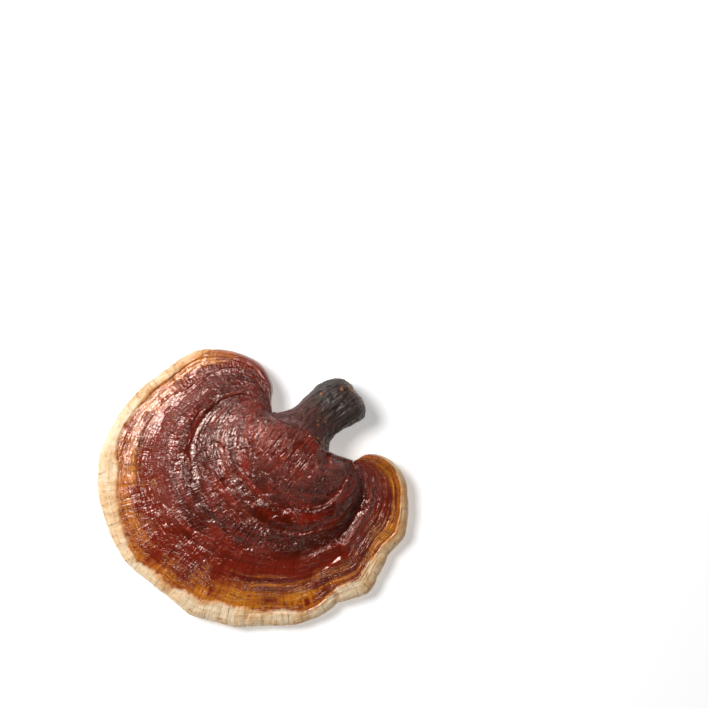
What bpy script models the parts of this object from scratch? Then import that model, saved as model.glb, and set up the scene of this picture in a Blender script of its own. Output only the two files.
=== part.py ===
"""A dried reishi mushroom lying on a table, lacquered side up: a lopsided kidney-shaped cap, and the short
stem that leaves it sideways through a notch.

Sizes below are millimetres and become metres as each mesh is made. X and Y lie on the table, with +X along
the cap's width and +Y towards the notch, and +Z points up. The origin is on the table under the middle of
the mushroom. Cap and stem both swell outwards from the growth centre, so their points are measured from it.
"""
import bpy
import bmesh
import numpy as np
from math import atan2, cos, exp, hypot, pi, radians, sin
from mathutils import Matrix, Vector

MM = 0.001

# ---- driving dimensions -----------------------------------------------------------------------------
GROWTH_CENTRE = (22.6, 21.0)      # the middle of the stem's root, on the table
CROWN_HEIGHT = 29.0               # top of the cap where the stem leaves it
CORNER_HEIGHTS = (17.0, 15.5)     # top of the cap at the notch's left and right corner
HUMP = 2.6                        # how much a low hump adds, a little way into the cap
HUMP_GROWTH = 0.14                # where along the growth lines its top is
HUMP_SPREAD = 0.13
SLOPE_START = 1.5                 # larger values keep the crown level for longer
SLOPE_HOLLOW = 1.5                # larger values make the outer cap flatter
MARGIN_CREST = 8.8                # top of the rolled margin
MARGIN_ROLL = (1.0, 4.4)          # how far the margin's rounded edge bulges, at the notch and far from it
MARGIN_FILLS_BY = 0.17            # share of the margin's length over which it grows to its full size
MARGIN_FILLING = 0.7              # below 1, most of that growth comes early
FOOT_WAVE = 1.05                  # the margin's lower edge rises and dips by this much
FOOT_WAVES = 5                    # dips round a whole turn
FOOT_BEARING = radians(190)       # direction of the first dip
FOOT_DIP = 0.5                    # how far each dip would go into the table before it is cut flat
CORNER_FOOT = 5.0                 # how much higher the lower edge is at the notch's corners
ROOT_UNDERSIDE = 5.0              # height of the underside at the stem
UNDERSIDE_VAULT = 4.0             # extra hollow half-way out
SEAM_BEARING = radians(58.1)      # direction in which the face between cap and stem looks
SEAM_DISTANCE = 3.7               # from the growth centre to that face
SEAM_LEFT = 17.6                  # its length on each side of the growth centre
SEAM_RIGHT = 22.2
SEAM_GAP = 0.3
FIRST_BEARINGS = (radians(165), radians(300))   # growth lines leave the seam between these directions
GROWTH_BEND = 0.9                 # how firmly they start in that direction and meet the margin squarely
SCALLOP_GROWTH = 4                # the margin's scallops fade inwards with this power of the growth
SCALLOP_SHARE = 0.035             # half the length of a scallop, as a share of the margin
TURN_SHARE = 0.06                 # growth lines look this far to each side to find out what is square
CORNER_SHARE = 0.03               # lines within this share of a corner run straight to it
SEAM_CUTTER = (30.0, 60.0, 80.0)
TABLE_CUTTER = (200.0, 200.0, 10.0)
STEM_BEARING = radians(37.0)
STEM_SQUARENESS = 2.3             # 2 is a true ellipse

# The margin from the notch's left corner round to its right corner, measured from the growth centre.
MARGIN = (
    (-14.3, 13.0), (-14.2, 17.2), (-13.6, 21.0), (-14.2, 25.3), (-18.5, 32.2), (-25.4, 36.5),
    (-34.4, 39.1), (-45.2, 39.3), (-52.9, 36.1), (-59.8, 31.1), (-69.9, 23.6), (-78.7, 14.2),
    (-85.2, 3.4), (-89.7, -8.2), (-90.1, -20.7), (-88.8, -28.8), (-84.7, -40.9), (-78.7, -51.8),
    (-69.7, -60.2), (-59.6, -68.0), (-49.5, -76.1), (-37.4, -79.4), (-29.3, -81.5), (-17.2, -80.9),
    (-4.3, -80.4), (7.7, -76.1), (14.4, -71.4), (21.5, -69.0), (28.3, -65.8), (33.5, -56.4),
    (37.4, -48.8), (43.0, -42.2), (44.9, -34.0), (44.9, -25.8), (43.6, -17.2), (39.1, -10.1),
    (32.8, -6.2), (26.5, -5.8), (21.9, -8.5),
)
# The stem's sections: distance out from the growth centre, left and right edge as seen from above when
# looking out along it, and highest and lowest point.
STEM_SECTIONS = (
    (-5.0, 18.6, -13.0, 25.0, 6.0),
    (-1.0, 16.8, -13.0, 26.4, 5.0),
    (4.5, 14.9, -12.0, 26.0, 3.6),
    (8.0, 14.9, -8.4, 24.4, 2.4),
    (11.5, 15.5, -7.1, 22.9, 1.4),
    (16.0, 16.2, -7.1, 21.8, 0.4),
    (21.0, 16.3, -8.1, 21.6, -0.4),
    (25.0, 14.9, -8.7, 21.0, -0.3),
    (28.2, 13.0, -7.0, 19.6, 1.4),
    (30.2, 10.2, -4.2, 17.0, 4.2),
    (31.1, 7.2, -1.2, 14.2, 7.4),
)

# ---- mesh density -----------------------------------------------------------------------------------
SECTIONS_OF_CAP = 84
TOP_STEPS = (0.0, 0.05, 0.11, 0.18, 0.26, 0.35, 0.45, 0.55, 0.65, 0.74, 0.83, 0.91, 0.96, 1.0)
EDGE_STEPS = 6
UNDERSIDE_STEPS = (0.93, 0.82, 0.68, 0.52, 0.36, 0.2, 0.08, 0.0)
SEAM_STEPS = 4
POINTS_ROUND_STEM = 36
CURVE_STEPS = 24                  # fine steps in each span while a curve is measured


def clear_scene():
    for old in list(bpy.data.objects):
        bpy.data.objects.remove(old, do_unlink=True)


def new_collection(name):
    collection = bpy.data.collections.new(name)
    bpy.context.scene.collection.children.link(collection)
    return collection


def principled(name, colour, roughness, coat):
    """An opaque, non-metallic material."""
    material = bpy.data.materials.new(name)
    material.use_nodes = True
    shader = material.node_tree.nodes["Principled BSDF"]
    shader.inputs["Base Color"].default_value = (*colour, 1.0)
    shader.inputs["Roughness"].default_value = roughness
    shader.inputs["Metallic"].default_value = 0.0
    shader.inputs["Coat Weight"].default_value = coat
    return material


def catmull_rom(before, start, end, after, t):
    """A point on the smooth curve from start to end, which the two outer points steer."""
    return 0.5 * (2 * start + (end - before) * t
                  + (2 * before - 5 * start + 4 * end - after) * t ** 2
                  + (3 * start - before - 3 * end + after) * t ** 3)


def even_curve(points, count):
    """Points spaced evenly by length along the smooth curve through the given ones."""
    points = np.array(points)
    before_first = 2 * points[0] - points[1]
    after_last = 2 * points[-1] - points[-2]
    padded = np.vstack((before_first, points, after_last))
    t = np.linspace(0, 1, CURVE_STEPS, endpoint=False)[:, None]
    fine = np.vstack([catmull_rom(*padded[i:i + 4], t) for i in range(len(points) - 1)] + [points[-1:]])
    length = np.concatenate(([0], np.cumsum(np.hypot(*np.diff(fine, axis=0).T))))
    places = np.linspace(0, length[-1], count)
    return np.column_stack([np.interp(places, length, column) for column in fine.T])


def softened(rows, share):
    """Each row averaged with its neighbours within a share of the whole, fewer near the two ends."""
    last = len(rows) - 1
    reach = round(share * last)
    spans = [min(reach, i, last - i) for i in range(len(rows))]
    return np.array([rows[i - span:i + span + 1].mean(axis=0) for i, span in enumerate(spans)])


def unit(vector):
    return vector / hypot(*vector)


def outward_sides(rows):
    """Unit directions square to the curve, on the right-hand side of its run."""
    along = np.gradient(rows, axis=0)
    return np.column_stack((along[:, 1], -along[:, 0])) / np.hypot(*along.T)[:, None]


def loft(name, rings, first_tip, last_tip, collection, material):
    """A closed solid through rings of points, all counter-clockwise as seen from the first tip's side."""
    shape = bmesh.new()
    loops = [[shape.verts.new(Vector(point) * MM) for point in ring] for ring in rings]
    first = shape.verts.new(Vector(first_tip) * MM)
    last = shape.verts.new(Vector(last_tip) * MM)
    count = len(loops[0])
    for i in range(count):
        j = (i + 1) % count
        shape.faces.new((first, loops[0][i], loops[0][j]))
        shape.faces.new((last, loops[-1][j], loops[-1][i]))
        for upper, lower in zip(loops, loops[1:]):
            shape.faces.new((upper[j], upper[i], lower[i], lower[j]))
    bmesh.ops.recalc_face_normals(shape, faces=shape.faces)
    mesh = bpy.data.meshes.new(name)
    shape.to_mesh(mesh)
    shape.free()
    mesh.materials.append(material)
    mesh.shade_smooth()
    mesh.set_sharp_from_angle(angle=radians(50))
    solid = bpy.data.objects.new(name, mesh)
    collection.objects.link(solid)
    return solid


def box_cutter(name, size, centre, turn, collection):
    """A box of the given size, turned about Z, that Booleans subtract."""
    bpy.ops.mesh.primitive_cube_add(size=1.0)
    cutter = bpy.context.object
    cutter.name = name
    cutter.data.transform(Matrix.Diagonal((*[side * MM for side in size], 1.0)))
    cutter.location = [value * MM for value in centre]
    cutter.rotation_euler.z = turn
    for owner in list(cutter.users_collection):
        owner.objects.unlink(cutter)
    collection.objects.link(cutter)
    cutter.hide_render = True
    cutter.display_type = 'WIRE'
    return cutter


def subtract(solid, cutter):
    cut = solid.modifiers.new("cut by " + cutter.name, 'BOOLEAN')
    cut.operation = 'DIFFERENCE'
    cut.solver = 'EXACT'
    cut.object = cutter


class GrowthLine:
    """One growth line of the cap: it leaves the seam with the stem and ends square to the margin."""

    def __init__(self, share, edge, soft_edge, side, soft_side):
        """share is how far round the margin the line ends, 0 at the notch's left corner and 1 at its right."""
        seam_out = np.array((cos(SEAM_BEARING), sin(SEAM_BEARING)))
        seam_right = np.array((seam_out[1], -seam_out[0]))
        self.root = SEAM_DISTANCE * seam_out + (share * (SEAM_LEFT + SEAM_RIGHT) - SEAM_LEFT) * seam_right
        from_corner = min(share, 1 - share)
        freedom = min(1.0, from_corner / CORNER_SHARE)
        fullness = min(1.0, from_corner / MARGIN_FILLS_BY) ** MARGIN_FILLING
        roll = MARGIN_ROLL[0] + (MARGIN_ROLL[1] - MARGIN_ROLL[0]) * fullness
        straight = unit(edge - self.root)
        outward = unit((1 - freedom) * straight + freedom * side)
        soft_outward = unit((1 - freedom) * straight + freedom * soft_side)
        self.edge = edge
        self.crest = edge - roll * outward
        self.soft_crest = soft_edge - roll * soft_outward
        run = self.soft_crest - self.root
        direct = atan2(run[1], run[0]) % (2 * pi)
        if share > 0.5 and direct < pi:
            direct += 2 * pi
        first = min(max(direct, FIRST_BEARINGS[0]), FIRST_BEARINGS[1])
        self.leaving = GROWTH_BEND * hypot(*run) * np.array((cos(first), sin(first)))
        self.arriving = GROWTH_BEND * hypot(*run) * soft_outward
        wave = FOOT_WAVE * (1 - cos(FOOT_WAVES * (atan2(edge[1], edge[0]) - FOOT_BEARING)))
        self.foot = wave - FOOT_DIP + CORNER_FOOT * (1 - fullness)
        corner = CORNER_HEIGHTS[0] * (1 - share) + CORNER_HEIGHTS[1] * share
        self.over_stem = sin(pi * share)
        self.root_height = corner + (CROWN_HEIGHT - corner) * self.over_stem
        self.crest_height = MARGIN_CREST + 0.5 * wave + (corner - MARGIN_CREST) * (1 - fullness)

    def plan(self, s):
        """Place over the table at growth s, 0 at the seam and 1 at the margin's crest."""
        smooth = ((2 * s ** 3 - 3 * s ** 2 + 1) * self.root + (3 * s ** 2 - 2 * s ** 3) * self.soft_crest
                  + (s ** 3 - 2 * s ** 2 + s) * self.leaving + (s ** 3 - s ** 2) * self.arriving)
        return smooth + s ** SCALLOP_GROWTH * (self.crest - self.soft_crest)

    def top_point(self, s):
        fall = (1 - s ** SLOPE_START) ** SLOPE_HOLLOW
        hump = HUMP * self.over_stem * exp(-((s - HUMP_GROWTH) / HUMP_SPREAD) ** 2)
        return (*self.plan(s), self.crest_height + (self.root_height - self.crest_height) * fall + hump)

    def edge_point(self, turn):
        """The rounded edge, with turn 0 at its crest and pi at its foot."""
        middle = 0.5 * (self.crest_height + self.foot)
        swing = 0.5 * (self.crest_height - self.foot)
        return (*(self.crest + (self.edge - self.crest) * sin(turn)), middle + swing * cos(turn))

    def underside_point(self, s):
        level = s * self.foot + (1 - s) * ROOT_UNDERSIDE
        return (*self.plan(s), level + UNDERSIDE_VAULT * 4 * s * (1 - s))

    def section(self):
        """Closed upright section of the cap along this line: top, edge, underside and seam."""
        ring = [self.top_point(s) for s in TOP_STEPS]
        ring += [self.edge_point(pi * step / EDGE_STEPS) for step in range(1, EDGE_STEPS + 1)]
        ring += [self.underside_point(s) for s in UNDERSIDE_STEPS]
        low, high = np.array(ring[-1]), np.array(ring[0])
        return ring + [tuple(low + (high - low) * step / SEAM_STEPS) for step in range(1, SEAM_STEPS)]


def moved_to_place(points):
    return [(x + GROWTH_CENTRE[0], y + GROWTH_CENTRE[1], z) for x, y, z in points]


def make_cap(collection):
    shares = np.linspace(0, 1, SECTIONS_OF_CAP)
    edges = even_curve(MARGIN, SECTIONS_OF_CAP)
    soft_edges = softened(edges, SCALLOP_SHARE)
    sides = outward_sides(edges)
    soft_sides = softened(outward_sides(soft_edges), TURN_SHARE)
    lines = zip(shares, edges, soft_edges, sides, soft_sides)
    sections = [GrowthLine(*line).section() for line in lines]
    rings = [moved_to_place(section) for section in sections]
    material = principled("lacquered_crust", (0.135, 0.026, 0.012), 0.38, 0.6)
    left_tip, right_tip = [tuple(np.mean(ring, axis=0)) for ring in (rings[0], rings[-1])]
    return loft("cap", rings, left_tip, right_tip, collection, material)


def stem_ring(section):
    """A squarish oval across the stem, counter-clockwise as seen from inside the cap."""
    out, left, right, high, low = section
    direction = np.array((cos(STEM_BEARING), sin(STEM_BEARING)))
    leftwards = np.array((-direction[1], direction[0]))
    ring = []
    for i in range(POINTS_ROUND_STEM):
        turn = 2 * pi * i / POINTS_ROUND_STEM
        across, up = cos(turn), sin(turn)
        swell = (abs(across) ** STEM_SQUARENESS + abs(up) ** STEM_SQUARENESS) ** (-1 / STEM_SQUARENESS)
        side = 0.5 * (left + right) - 0.5 * (left - right) * across * swell
        height = 0.5 * (high + low) + 0.5 * (high - low) * up * swell
        ring.append((*(out * direction + side * leftwards), height))
    return ring


def make_stem(collection):
    rings = [moved_to_place(stem_ring(section)) for section in STEM_SECTIONS]
    material = principled("stem_bark", (0.040, 0.024, 0.022), 0.55, 0.2)
    inner_tip, outer_tip = [tuple(np.mean(ring, axis=0)) for ring in (rings[0], rings[-1])]
    return loft("stem", rings, inner_tip, outer_tip, collection, material)


def make_cutters(collection):
    """The table top, and the space on the cap's side of the seam."""
    table = box_cutter("table", TABLE_CUTTER, (0, 0, -0.5 * TABLE_CUTTER[2]), 0.0, collection)
    middle = SEAM_DISTANCE + SEAM_GAP - 0.5 * SEAM_CUTTER[0]
    place = (GROWTH_CENTRE[0] + middle * cos(SEAM_BEARING), GROWTH_CENTRE[1] + middle * sin(SEAM_BEARING), 0)
    inside_cap = box_cutter("inside cap", SEAM_CUTTER, place, SEAM_BEARING, collection)
    return table, inside_cap


def main():
    clear_scene()
    mushroom = new_collection("reishi_mushroom")
    cutters = new_collection("cutters")
    cap = make_cap(mushroom)
    stem = make_stem(mushroom)
    table, inside_cap = make_cutters(cutters)
    subtract(stem, inside_cap)
    for solid in (cap, stem):
        subtract(solid, table)


main()
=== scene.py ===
"""A dried reishi mushroom on a white table: a lacquered, lopsided kidney-shaped cap with a cream margin, and
the short dark stem that leaves it sideways through a notch.

Sizes are millimetres and become metres as each mesh is made. Places on the mushroom are measured from its
growth centre, the middle of the stem's root on the table, with +X along the cap's width and +Y towards the
notch. Noises along the growth lines are millimetres too. Other noises, table, lamp and camera are metres.
"""
import bpy
import numpy as np
from math import cos, pi, radians, sin
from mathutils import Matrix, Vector


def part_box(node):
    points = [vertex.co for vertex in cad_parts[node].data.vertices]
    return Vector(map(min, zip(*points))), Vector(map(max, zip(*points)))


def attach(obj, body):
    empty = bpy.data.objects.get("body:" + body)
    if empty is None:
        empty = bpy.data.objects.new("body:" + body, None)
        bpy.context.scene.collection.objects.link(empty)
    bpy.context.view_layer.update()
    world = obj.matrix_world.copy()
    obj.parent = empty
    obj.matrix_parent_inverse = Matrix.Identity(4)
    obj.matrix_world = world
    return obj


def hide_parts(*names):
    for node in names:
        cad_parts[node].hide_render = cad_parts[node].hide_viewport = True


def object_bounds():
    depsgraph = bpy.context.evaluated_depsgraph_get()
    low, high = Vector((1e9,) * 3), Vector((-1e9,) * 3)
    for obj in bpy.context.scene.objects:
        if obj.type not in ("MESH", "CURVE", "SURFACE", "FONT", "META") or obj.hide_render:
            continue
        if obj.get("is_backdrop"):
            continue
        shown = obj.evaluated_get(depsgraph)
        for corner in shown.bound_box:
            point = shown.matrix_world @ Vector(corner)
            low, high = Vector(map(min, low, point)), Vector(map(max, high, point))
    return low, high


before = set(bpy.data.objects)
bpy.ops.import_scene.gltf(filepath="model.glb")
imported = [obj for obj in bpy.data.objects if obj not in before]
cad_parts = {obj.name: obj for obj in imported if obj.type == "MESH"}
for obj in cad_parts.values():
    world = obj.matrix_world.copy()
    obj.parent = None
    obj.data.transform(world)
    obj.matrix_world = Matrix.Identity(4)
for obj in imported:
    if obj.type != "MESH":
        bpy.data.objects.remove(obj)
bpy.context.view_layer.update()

# ==== Stem ====================
# The short woody stem, cut through at its end. It has a dark, finely wrinkled bark with a few rusty flecks
# where it is rubbed. It grew as one with the cap, so its root goes in under the edge of the cap's crust.
MM = 0.001
CENTRE_FROM_BOX_CORNER = (90.26, 81.55)   # the growth centre, from the cap's left and front faces
STEM_BEARING = radians(37)
STEM_SQUARENESS = 2.3             # 2 is a plain oval
STEM_SECTIONS = (                 # distance out, left and right edge, highest and lowest point
    (-5.0, 18.6, -13.0, 25.0, 6.0),
    (-1.0, 16.8, -13.0, 26.4, 5.0),
    (4.5, 14.9, -12.0, 26.0, 3.6),
    (8.0, 14.9, -8.4, 24.4, 2.4),
    (11.5, 15.5, -7.1, 22.9, 1.4),
    (16.0, 16.2, -7.1, 21.8, 0.4),
    (21.0, 16.3, -8.1, 21.6, -0.4),
    (25.0, 14.9, -8.7, 21.0, -0.3),
    (28.2, 13.0, -7.0, 19.6, 1.4),
    (30.2, 10.2, -4.2, 17.0, 4.2),
    (31.1, 7.2, -1.2, 14.2, 7.4),
)
STEM_RINGS = 160
STEM_POINTS = 210
CUT_STEPS = (0.85, 0.65, 0.45, 0.22)   # rings of the cut end, as parts of the last ring
CUT_HOLLOW = 0.5                  # depth of the cut end at its middle
STEM_RELIEF = {"Wrinkle height": 1.5, "Lump height": 1.3, "Knot height": 0.9}
RELIEF_TOP = 0.75                 # a noise seldom passes this, so a noise less this makes hollows
BARK_FIBRE = (0.009, 0.0011)      # length and width, in metres
BARK_WRINKLE = (0.015, 0.0021)
BARK_LUMP = 0.008
BARK_KNOT = 0.0035
SMOOTH_FOOT = 0.004               # the relief begins over this height above the table
BARK_BLACK = (0.018, 0.013, 0.012)
BARK_GREY = (0.082, 0.054, 0.043)
BARK_PURPLE = (0.110, 0.032, 0.025)
BARK_RUST = (0.430, 0.150, 0.045)
CUT_BROWN = (0.210, 0.100, 0.040)


def through(places, points, column=1):
    """A smooth value for each place, along the curve through points that begin with their place."""
    at = np.array([point[0] for point in points])
    values = np.array([point[column] for point in points])
    slopes = np.gradient(values, at)
    i = np.clip(np.searchsorted(at, places, side="right") - 1, 0, len(at) - 2)
    span = at[i + 1] - at[i]
    t = np.clip((places - at[i]) / span, 0, 1)
    return ((2 * t ** 3 - 3 * t ** 2 + 1) * values[i] + (3 * t ** 2 - 2 * t ** 3) * values[i + 1]
            + span * ((t ** 3 - 2 * t ** 2 + t) * slopes[i] + (t ** 3 - t ** 2) * slopes[i + 1]))


class Wire:
    """A node's output that takes part in Python expressions."""

    def __init__(self, graph, socket):
        self.graph = graph
        self.socket = socket

    def math(self, operation, *values):
        return self.graph.node("ShaderNodeMath", {"operation": operation}, dict(enumerate(values)))

    def __add__(self, other):
        return self.math("ADD", self, other)

    __radd__ = __add__

    def __sub__(self, other):
        return self.math("SUBTRACT", self, other)

    def __rsub__(self, other):
        return self.math("SUBTRACT", other, self)

    def __mul__(self, other):
        return self.math("MULTIPLY", self, other)

    __rmul__ = __mul__

    def __truediv__(self, other):
        return self.math("DIVIDE", self, other)

    def between(self, low, high):
        """0 where this is low, 1 where it is high, and eased between."""
        sockets = {"Value": self, "From Min": low, "From Max": high}
        return self.graph.node("ShaderNodeMapRange", {"interpolation_type": "SMOOTHSTEP"}, sockets)


class Graph:
    """The nodes of one material or of one geometry tree."""

    def __init__(self, tree):
        self.tree = tree

    def node(self, kind, settings=None, sockets=None, output=0):
        made = self.tree.nodes.new(kind)
        for name, value in (settings or {}).items():
            setattr(made, name, value)
        self.fill(made, sockets or {})
        return Wire(self, made.outputs[output])

    def fill(self, node, sockets):
        """Links a node's inputs to wires or sets them to plain values."""
        for name, value in sockets.items():
            socket = node.inputs[name]
            if isinstance(value, Wire):
                self.tree.links.new(value.socket, socket)
            else:
                socket.default_value = (*value, 1.0) if socket.type == "RGBA" else value

    def vector(self, x=0.0, y=0.0, z=0.0):
        return self.node("ShaderNodeCombineXYZ", None, {"X": x, "Y": y, "Z": z})

    def noise(self, place, scale=1.0, detail=2.0, roughness=0.5):
        sockets = {"Vector": place, "Scale": scale, "Detail": detail, "Roughness": roughness}
        return self.node("ShaderNodeTexNoise", None, sockets)

    def cell_edges(self, place, scale=1.0):
        """Distance to the nearest edge between cells."""
        feature = {"feature": "DISTANCE_TO_EDGE"}
        return self.node("ShaderNodeTexVoronoi", feature, {"Vector": place, "Scale": scale})

    def drawn_out(self, place, bearing, long, wide):
        """The place turned and stretched so that a noise makes fibres of this length and width."""
        about_z = {"rotation_type": "Z_AXIS"}
        turned = self.node("ShaderNodeVectorRotate", about_z, {"Vector": place, "Angle": -bearing})
        shrink = (1 / long, 1 / wide, 1 / wide)
        return self.node("ShaderNodeVectorMath", {"operation": "MULTIPLY"}, {0: turned, 1: shrink})

    def mixed(self, share, first, second):
        """The second colour over the first."""
        return self.node("ShaderNodeMix", {"data_type": "RGBA"}, {0: share, 6: first, 7: second}, 2)

    def mark(self, name):
        """A number that the mesh keeps for each of its points."""
        return self.node("ShaderNodeAttribute", {"attribute_name": name}, None, 2)

    def finish(self, sockets):
        """Sets the material's own shader."""
        self.fill(self.tree.nodes["Principled BSDF"], sockets)


def new_material(name):
    material = bpy.data.materials.new(name)
    material.use_nodes = True
    return material, Graph(material.node_tree)


def relief_tree(name, sizes, marks, height_of):
    """A geometry tree that moves a skin along its normals, by the millimetres that height_of works out."""
    tree = bpy.data.node_groups.new(name, "GeometryNodeTree")
    tree.interface.new_socket("Skin", in_out="INPUT", socket_type="NodeSocketGeometry")
    for size in sizes:
        tree.interface.new_socket(size, in_out="INPUT", socket_type="NodeSocketFloat")
    tree.interface.new_socket("Finish", in_out="INPUT", socket_type="NodeSocketMaterial")
    tree.interface.new_socket("Skin", in_out="OUTPUT", socket_type="NodeSocketGeometry")
    graph = Graph(tree)
    given = tree.nodes.new("NodeGroupInput")
    size = {name: Wire(graph, given.outputs[name]) for name in sizes}
    number = {"data_type": "FLOAT"}
    mark = {name: graph.node("GeometryNodeInputNamedAttribute", number, {"Name": name}) for name in marks}
    height = height_of(graph, size, mark, graph.node("GeometryNodeInputPosition"))
    normal = graph.node("GeometryNodeInputNormal")
    push = graph.node("ShaderNodeVectorMath", {"operation": "SCALE"}, {0: normal, "Scale": height * MM})
    skin = Wire(graph, given.outputs["Skin"])
    skin = graph.node("GeometryNodeSetPosition", None, {"Geometry": skin, "Offset": push})
    skin = graph.node("GeometryNodeRealizeInstances", None, {"Geometry": skin})
    finish = Wire(graph, given.outputs["Finish"])
    skin = graph.node("GeometryNodeSetMaterial", None, {"Geometry": skin, "Material": finish})
    tree.links.new(skin.socket, tree.nodes.new("NodeGroupOutput").inputs["Skin"])
    return tree


def press_relief(piece, tree, sizes, finish):
    """Applies a relief tree to a piece, which then has a plain mesh again."""
    relief = piece.modifiers.new("relief", "NODES")
    relief.node_group = tree
    for socket in tree.interface.items_tree:
        if socket.in_out == "INPUT" and socket.name in sizes:
            relief[socket.identifier] = sizes[socket.name]
        elif socket.in_out == "INPUT" and socket.name == "Finish":
            relief[socket.identifier] = finish
    bpy.context.view_layer.update()
    finished = piece.evaluated_get(bpy.context.evaluated_depsgraph_get())
    mesh = bpy.data.meshes.new_from_object(finished)
    piece.modifiers.clear()
    piece.data = mesh


def new_skin(name, points, faces, marks):
    """An object whose mesh has these points, in millimetres, and these marks at each of them."""
    mesh = bpy.data.meshes.new(name)
    mesh.from_pydata(points * MM, [], faces)
    for mark, values in marks.items():
        mesh.attributes.new(mark, "FLOAT", "POINT").data.foreach_set("value", values.astype(np.float32))
    mesh.shade_smooth()
    skin = bpy.data.objects.new(name, mesh)
    bpy.context.scene.collection.objects.link(skin)
    return skin


def bark_height(graph, size, mark, place):
    """Long wrinkles, lumps and a few knots, pressed inwards, and none where the stem meets the table."""
    wrinkles = graph.noise(graph.drawn_out(place, STEM_BEARING, *BARK_WRINKLE), 1.0, 3.0, 0.55)
    lumps = graph.noise(place, 1 / BARK_LUMP)
    knots = graph.noise(place, 1 / BARK_KNOT)
    rise = graph.node("ShaderNodeSeparateXYZ", None, {"Vector": place}, 2)
    return rise.between(0.0, SMOOTH_FOOT) * ((wrinkles - RELIEF_TOP) * size["Wrinkle height"]
                                             + (lumps - RELIEF_TOP) * size["Lump height"]
                                             + (knots - RELIEF_TOP) * size["Knot height"])


cap_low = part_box("cap")[0]
from_left, from_front = CENTRE_FROM_BOX_CORNER
growth_centre = np.array((cap_low.x / MM + from_left, cap_low.y / MM + from_front, 0))
direction = np.array((cos(STEM_BEARING), sin(STEM_BEARING), 0))
leftwards = np.array((-direction[1], direction[0], 0))
upwards = np.array((0, 0, 1))

out = np.linspace(STEM_SECTIONS[0][0], STEM_SECTIONS[-1][0], STEM_RINGS)
left, right, high, low = [through(out, STEM_SECTIONS, column) for column in (1, 2, 3, 4)]
turn = np.linspace(0, 2 * pi, STEM_POINTS, endpoint=False)
swell = np.abs(np.cos(turn)) ** STEM_SQUARENESS + np.abs(np.sin(turn)) ** STEM_SQUARENESS
swell = swell ** (-1 / STEM_SQUARENESS)
rings = []
for i in range(STEM_RINGS):
    across = 0.5 * (left[i] + right[i]) - 0.5 * (left[i] - right[i]) * np.cos(turn) * swell
    up = 0.5 * (high[i] + low[i]) + 0.5 * (high[i] - low[i]) * np.sin(turn) * swell
    rings.append(out[i] * direction + across[:, None] * leftwards + up[:, None] * upwards)
middle = rings[-1].mean(axis=0)
for step in CUT_STEPS:
    rings.append(middle + (rings[STEM_RINGS - 1] - middle) * step - CUT_HOLLOW * (1 - step) * direction)
tips = np.array((rings[0].mean(axis=0), middle - CUT_HOLLOW * direction))
points = np.vstack(rings + [tips]) + growth_centre
points[:, 2] = np.maximum(points[:, 2], 0)

# How far out each point is, which the bark's colours follow.
outs = np.concatenate((np.repeat(out, STEM_POINTS), np.full(len(points) - len(out) * STEM_POINTS, out[-1])))
outs[-2] = out[0]

faces = []
last = (len(rings) - 1) * STEM_POINTS
for start in range(0, last, STEM_POINTS):
    for i in range(STEM_POINTS):
        j = (i + 1) % STEM_POINTS
        faces.append((start + i, start + STEM_POINTS + i, start + STEM_POINTS + j, start + j))
for i in range(STEM_POINTS):
    j = (i + 1) % STEM_POINTS
    faces.append((len(points) - 2, i, j))
    faces.append((len(points) - 1, last + j, last + i))
stem = new_skin("stem_bark", points, faces, {"out": outs})

bark, look = new_material("stem_bark")
place = look.node("ShaderNodeTexCoord", None, None, 3)
fibres = look.noise(look.drawn_out(place, STEM_BEARING, *BARK_FIBRE))
ridges = look.noise(look.drawn_out(place, STEM_BEARING, *BARK_WRINKLE), 1.0, 3.0, 0.55)
patchy = look.noise(place, 110.0, 4.0, 0.6)
speckle = look.noise(place, 480.0, 3.0, 0.6)
colour = look.mixed((fibres * 0.8 + ridges * 0.5 + speckle * 0.5).between(0.66, 1.14), BARK_BLACK, BARK_GREY)
rootward = (look.mark("out") + (patchy - 0.5) * 16.0).between(19.0, 5.0)
colour = look.mixed(rootward * (fibres * 1.6).between(0.2, 1.1), colour, BARK_PURPLE)
rubbed = (speckle * 0.3 + patchy * 0.95).between(0.73, 0.78)
colour = look.mixed(rubbed * 0.8, colour, BARK_RUST)
near_cut = (look.mark("out") + (patchy - 0.5) * 6.0).between(28.0, 31.0)
colour = look.mixed(near_cut * (fibres * 1.2).between(0.1, 0.9), colour, CUT_BROWN)
bark_bump = {"Height": fibres * 0.6 + speckle * 0.1, "Distance": MM, "Strength": 1.0}
look.finish({
    "Base Color": colour,
    "Roughness": 0.34 + speckle * 0.2,
    "Specular IOR Level": 0.35,
    "Normal": look.node("ShaderNodeBump", None, bark_bump),
})
press_relief(stem, relief_tree("bark_relief", STEM_RELIEF, (), bark_height), STEM_RELIEF, bark)
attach(stem, "root")
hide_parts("stem")

# ==== Cap ====================
# One woody body under a thin brittle lacquer, which grew out from the stem ring by ring. Its top has the
# rings' furrows and terraces, red-brown inside and ochre outside. A rolled cream margin leads from there to
# the tan, pored underside.

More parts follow.
